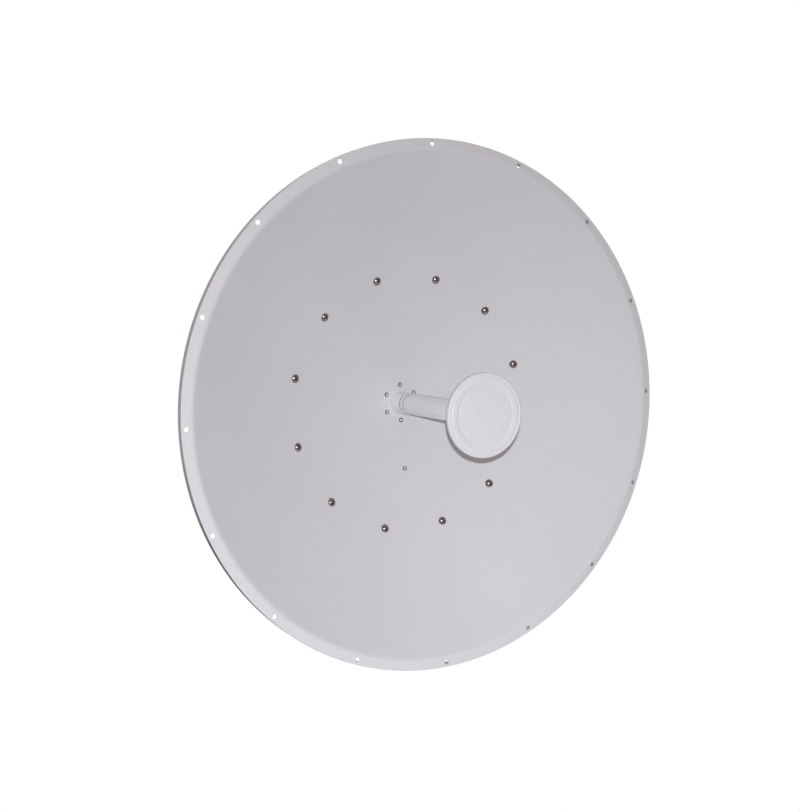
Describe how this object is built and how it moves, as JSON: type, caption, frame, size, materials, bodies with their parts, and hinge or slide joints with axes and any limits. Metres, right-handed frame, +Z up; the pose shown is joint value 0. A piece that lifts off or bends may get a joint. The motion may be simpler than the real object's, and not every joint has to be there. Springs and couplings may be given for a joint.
{
  "type": "parabolic dish antenna",
  "caption": "Solid round parabolic dish with a splash-plate feed on a central tube, a back ring, and an azimuth and elevation mount that clamps to a mast.",
  "frame": {"origin": "on the mast axis, level with the elevation axis, midway between the two mast jaws", "axes": "+Z up along the mast; the dish faces -Y; +X to the right as seen from the front of the dish"},
  "size_m": [1.2, 0.8161, 1.2],
  "materials": {
    "reflector_paint": "satin",
    "galvanised_steel": "satin",
    "zinc_plated_steel": "satin",
    "stainless_screw": "satin",
    "feed_metal": "satin",
    "white_plastic": "satin",
    "cast_aluminium": "satin",
    "connector_brass": "gloss",
    "rubber": "matte"
  },
  "bodies": {
    "mast_bracket": {"mast_bracket": "galvanised_steel", "swivel_bolt_upper": "zinc_plated_steel", "swivel_bolt_lower": "zinc_plated_steel", "clamp_bolt_upper_left": "zinc_plated_steel", "clamp_bolt_upper_right": "zinc_plated_steel", "clamp_bolt_lower_left": "zinc_plated_steel", "clamp_bolt_lower_right": "zinc_plated_steel"},
    "jaw_upper": {"jaw_upper": "galvanised_steel"},
    "jaw_lower": {"jaw_lower": "galvanised_steel"},
    "yoke": {"yoke": "galvanised_steel", "pivot_bolt_left": "zinc_plated_steel", "pivot_bolt_right": "zinc_plated_steel", "lock_bolt_left": "zinc_plated_steel", "lock_bolt_right": "zinc_plated_steel", "azimuth_eye_bolt": "zinc_plated_steel"},
    "azimuth_rod": {"azimuth_rod": "zinc_plated_steel"},
    "azimuth_trunnion": {"azimuth_trunnion": "zinc_plated_steel"},
    "reflector_frame": {"reflector": "reflector_paint", "back_ring": "galvanised_steel", "ring_bolt_01": "stainless_screw", "ring_bolt_02": "stainless_screw", "ring_bolt_03": "stainless_screw", "ring_bolt_04": "stainless_screw", "ring_bolt_05": "stainless_screw", "ring_bolt_06": "stainless_screw", "ring_bolt_07": "stainless_screw", "ring_bolt_08": "stainless_screw", "ring_bolt_09": "stainless_screw", "ring_bolt_10": "stainless_screw", "ring_bolt_11": "stainless_screw", "ring_bolt_12": "stainless_screw", "hub_screw_1": "stainless_screw", "hub_screw_2": "stainless_screw", "hub_screw_3": "stainless_screw", "hub_screw_4": "stainless_screw", "hub_screw_5": "stainless_screw", "hub_screw_6": "stainless_screw", "earth_screw": "stainless_screw", "hub_gasket": "rubber", "feed_flange": "feed_metal", "ear_left": "galvanised_steel", "ear_right": "galvanised_steel", "ear_bolt_1": "zinc_plated_steel", "ear_bolt_2": "zinc_plated_steel", "ear_bolt_3": "zinc_plated_steel", "ear_bolt_4": "zinc_plated_steel", "elevation_bar": "zinc_plated_steel"},
    "feed": {"feed_lock_ring": "feed_metal", "feed_tube": "feed_metal", "dielectric_cone": "white_plastic", "subreflector": "feed_metal", "feed_cap": "white_plastic", "omt_body": "cast_aluminium", "connector_h": "connector_brass", "connector_v": "connector_brass"},
    "elevation_rod": {"elevation_rod": "zinc_plated_steel"},
    "elevation_trunnion": {"elevation_trunnion": "zinc_plated_steel", "elevation_nut_front": "zinc_plated_steel", "elevation_nut_rear": "zinc_plated_steel"}
  },
  "joints": [
    {"name": "azimuth", "type": "hinge", "parent": "mast_bracket", "child": "yoke", "pos_m": [0, -0.12, 0], "axis": [0, 0, 1], "range_deg": [-10, 10]},
    {"name": "elevation", "type": "hinge", "parent": "yoke", "child": "reflector_frame", "pos_m": [0, -0.215, 0], "axis": [-1, 0, 0], "range_deg": [-15, 15]},
    {"name": "polarisation", "type": "hinge", "parent": "reflector_frame", "child": "feed", "pos_m": [0, -0.33, 0], "axis": [0, -1, 0], "range_deg": [-45, 45]},
    {"name": "elevation_rod_eye", "type": "hinge", "parent": "reflector_frame", "child": "elevation_rod", "pos_m": [0, -0.2675, -0.106], "axis": [-1, 0, 0], "range_deg": [-7.5, 7.5]},
    {"name": "elevation_trunnion_turn", "type": "hinge", "parent": "yoke", "child": "elevation_trunnion", "pos_m": [0, -0.1625, -0.106], "axis": [-1, 0, 0], "range_deg": [-7.5, 7.5]},
    {"name": "azimuth_rod_eye", "type": "hinge", "parent": "yoke", "child": "azimuth_rod", "pos_m": [0.03, -0.22, 0.185], "axis": [0, 0, 1], "range_deg": [-5, 5]},
    {"name": "azimuth_trunnion_turn", "type": "hinge", "parent": "mast_bracket", "child": "azimuth_trunnion", "pos_m": [0.1, -0.15, 0.185], "axis": [0, 0, 1], "range_deg": [-5, 5]},
    {"name": "jaw_upper_slide", "type": "slide", "parent": "mast_bracket", "child": "jaw_upper", "axis": [0, 1, 0], "range_m": [-0.03, 0.028]},
    {"name": "jaw_lower_slide", "type": "slide", "parent": "mast_bracket", "child": "jaw_lower", "axis": [0, 1, 0], "range_m": [-0.03, 0.028]}
  ],
  "couplings": [
    {"joint": "elevation_rod_eye", "follows": "elevation", "ratio": -0.5},
    {"joint": "elevation_trunnion_turn", "follows": "elevation", "ratio": 0.5},
    {"joint": "azimuth_rod_eye", "follows": "azimuth", "ratio": -0.5},
    {"joint": "azimuth_trunnion_turn", "follows": "azimuth", "ratio": 0.5}
  ]
}
